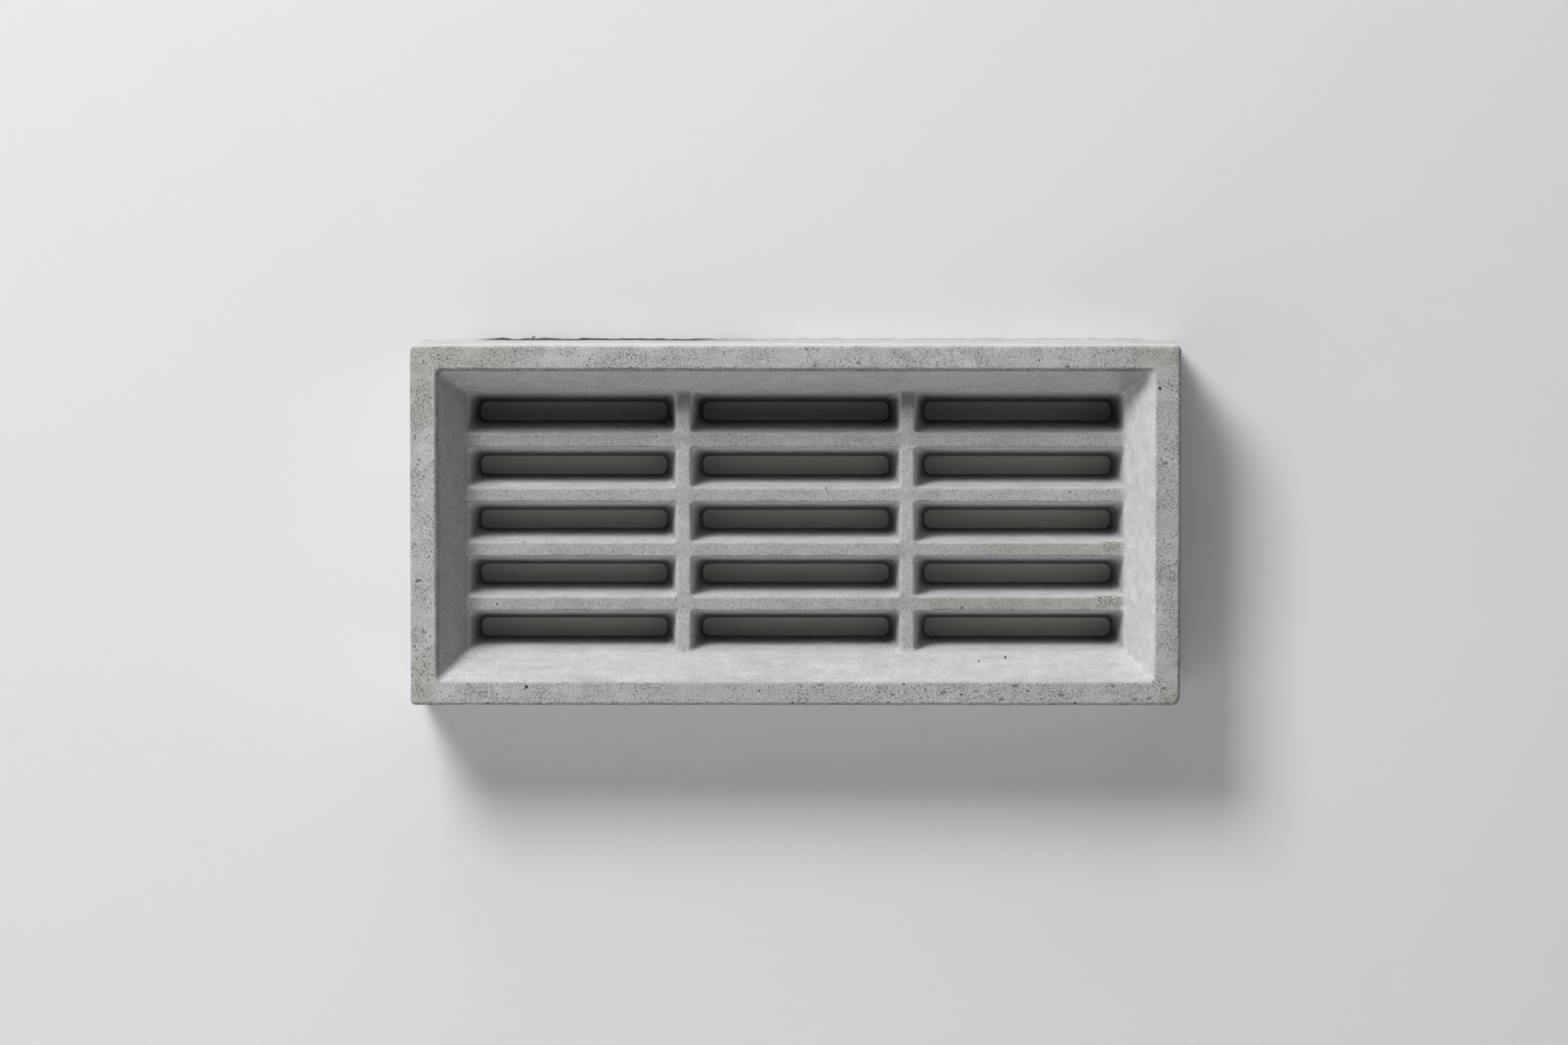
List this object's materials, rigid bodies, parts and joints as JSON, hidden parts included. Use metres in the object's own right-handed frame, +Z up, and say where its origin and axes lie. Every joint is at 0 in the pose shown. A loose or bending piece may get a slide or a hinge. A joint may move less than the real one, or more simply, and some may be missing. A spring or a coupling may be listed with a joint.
{
  "type": "foundation vent",
  "caption": "Cast concrete foundation vent block: a raised rim round a splayed recess, with a grid of tapering air slots that run through to a flat back.",
  "frame": {"origin": "middle of the bed face that the block stands on, halfway between its front and its back", "axes": "+Z up; the front with the recess faces -Y; X runs along the wall"},
  "size_m": [0.406, 0.076, 0.19],
  "materials": {
    "cast_concrete": "matt, as cast"
  },
  "bodies": {
    "root": {"vent_block": "cast_concrete"}
  },
  "joints": []
}
